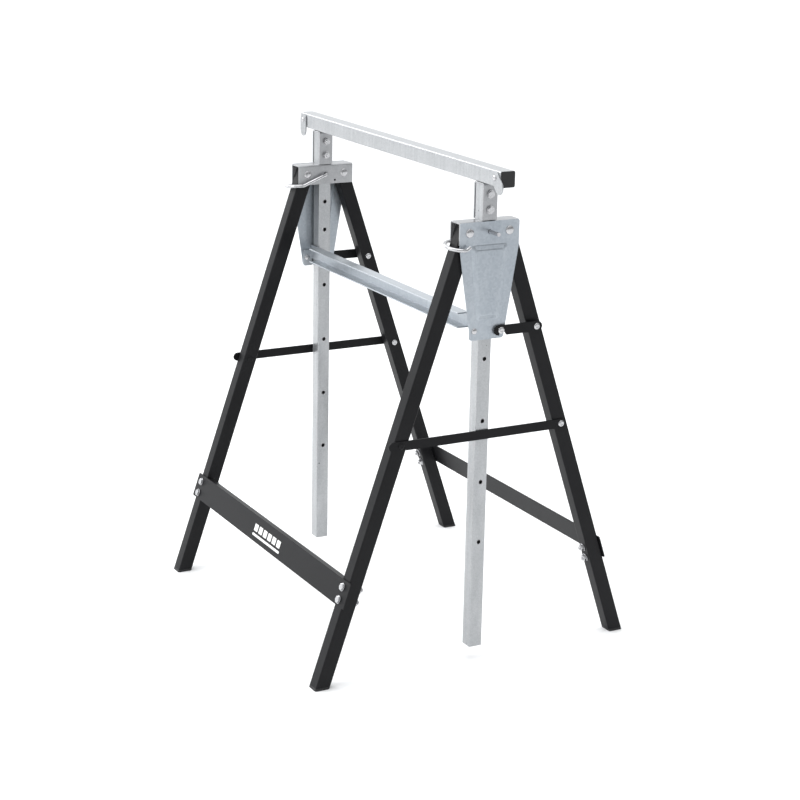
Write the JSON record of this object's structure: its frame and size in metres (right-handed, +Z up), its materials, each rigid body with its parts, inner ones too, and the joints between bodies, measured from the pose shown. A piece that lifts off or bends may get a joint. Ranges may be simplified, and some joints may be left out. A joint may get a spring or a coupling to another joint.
{
  "type": "folding sawhorse",
  "caption": "Folding steel sawhorse with splayed tube legs, a crossbeam on pinned telescoping posts, spreader bars, latch hooks and swing-up edge stops.",
  "frame": {"origin": "middle of the footprint on the floor, under the middle of the bounding box", "axes": "+X along the crossbeam towards the edge stop that rests swung outward, -Y towards the side with the wide rail, +Z up"},
  "size_m": [0.6946, 0.572, 0.8],
  "materials": {
    "galvanised": "galvanised, satin with faint spangle",
    "black": "black powder coat, satin",
    "zinc": "bright zinc plate",
    "plastic": "black moulded plastic"
  },
  "bodies": {
    "frame": {"head_left": "galvanised", "gusset_left": "galvanised", "front_pivot_rivet_left": "zinc", "rear_pivot_rivet_left": "zinc", "crossbar_rivet_left": "zinc", "latch_stud_left": "zinc", "head_right": "galvanised", "gusset_right": "galvanised", "front_pivot_rivet_right": "zinc", "rear_pivot_rivet_right": "zinc", "crossbar_rivet_right": "zinc", "latch_stud_right": "zinc", "crossbar": "galvanised"},
    "front_legs": {"front_leg_left": "black", "front_foot_plug_left": "plastic", "spreader_stud_left": "zinc", "front_rail_bolt_left_1": "zinc", "front_rail_bolt_left_2": "zinc", "front_leg_right": "black", "front_foot_plug_right": "plastic", "spreader_stud_right": "zinc", "front_rail_bolt_right_1": "zinc", "front_rail_bolt_right_2": "zinc", "front_rail": "black"},
    "rear_legs": {"rear_leg_left": "black", "rear_foot_plug_left": "plastic", "spreader_rivet_left": "zinc", "latch_rivet_left": "zinc", "rear_rail_bolt_left_1": "zinc", "rear_rail_bolt_left_2": "zinc", "rear_leg_right": "black", "rear_foot_plug_right": "plastic", "spreader_rivet_right": "zinc", "latch_rivet_right": "zinc", "rear_rail_bolt_right_1": "zinc", "rear_rail_bolt_right_2": "zinc", "rear_rail": "black"},
    "lift": {"beam": "galvanised", "beam_cap_left": "plastic", "edge_stop_rivet_left": "zinc", "saddle_left": "galvanised", "saddle_bolt_left_1": "zinc", "saddle_bolt_left_2": "zinc", "post_left": "galvanised", "beam_cap_right": "plastic", "edge_stop_rivet_right": "zinc", "saddle_right": "galvanised", "saddle_bolt_right_1": "zinc", "saddle_bolt_right_2": "zinc", "post_right": "galvanised"},
    "spreader_left": {"spreader_bar_left": "black"},
    "latch_left": {"latch_hook_left": "black"},
    "pin_left": {"locking_pin_left": "zinc", "locking_pin_tip_left": "zinc"},
    "stop_left": {"edge_stop_left": "galvanised"},
    "spreader_right": {"spreader_bar_right": "black"},
    "latch_right": {"latch_hook_right": "black"},
    "pin_right": {"locking_pin_right": "zinc", "locking_pin_tip_right": "zinc"},
    "stop_right": {"edge_stop_right": "galvanised"}
  },
  "joints": [
    {"name": "front_leg_fold", "type": "hinge", "parent": "frame", "child": "front_legs", "pos_m": [0, -0.035, 0.701], "axis": [1, 0, 0], "range_deg": [0, 17]},
    {"name": "rear_leg_fold", "type": "hinge", "parent": "frame", "child": "rear_legs", "pos_m": [0, 0.035, 0.701], "axis": [1, 0, 0], "range_deg": [-17, 0]},
    {"name": "beam_lift", "type": "slide", "parent": "frame", "child": "lift", "axis": [0, 0, 1], "range_m": [0, 0.5]},
    {"name": "spreader_swing_left", "type": "hinge", "parent": "rear_legs", "child": "spreader_left", "pos_m": [-0.29761, 0.14432, 0.3795], "axis": [1, 0, 0], "range_deg": [-45.9, 0]},
    {"name": "latch_swing_left", "type": "hinge", "parent": "rear_legs", "child": "latch_left", "pos_m": [-0.30341, 0.08771, 0.546], "axis": [1, 0, 0], "range_deg": [-85, 0]},
    {"name": "pin_swing_left", "type": "hinge", "parent": "frame", "child": "pin_left", "pos_m": [-0.28431, 0, 0.701], "axis": [1, 0, 0], "range_deg": [-70, 0]},
    {"name": "spreader_swing_right", "type": "hinge", "parent": "rear_legs", "child": "spreader_right", "pos_m": [0.28899, 0.14432, 0.3795], "axis": [1, 0, 0], "range_deg": [-45.9, 0]},
    {"name": "latch_swing_right", "type": "hinge", "parent": "rear_legs", "child": "latch_right", "pos_m": [0.29479, 0.08771, 0.546], "axis": [1, 0, 0], "range_deg": [-85, 0]},
    {"name": "pin_swing_right", "type": "hinge", "parent": "frame", "child": "pin_right", "pos_m": [0.27569, 0, 0.701], "axis": [1, 0, 0], "range_deg": [-70, 0]},
    {"name": "stop_swing_left", "type": "hinge", "parent": "lift", "child": "stop_left", "pos_m": [-0.33271, -0.0138, 0.7885], "axis": [0, 1, 0], "range_deg": [-90, 90]},
    {"name": "stop_swing_right", "type": "hinge", "parent": "lift", "child": "stop_right", "pos_m": [0.32409, -0.0138, 0.7885], "axis": [0, 1, 0], "range_deg": [-135, 45]}
  ],
  "couplings": [
    {"joint": "rear_leg_fold", "follows": "front_leg_fold", "ratio": -1},
    {"joint": "spreader_swing_left", "follows": "front_leg_fold", "ratio": -2.7},
    {"joint": "latch_swing_left", "follows": "front_leg_fold", "ratio": -5},
    {"joint": "spreader_swing_right", "follows": "front_leg_fold", "ratio": -2.7},
    {"joint": "latch_swing_right", "follows": "front_leg_fold", "ratio": -5}
  ]
}
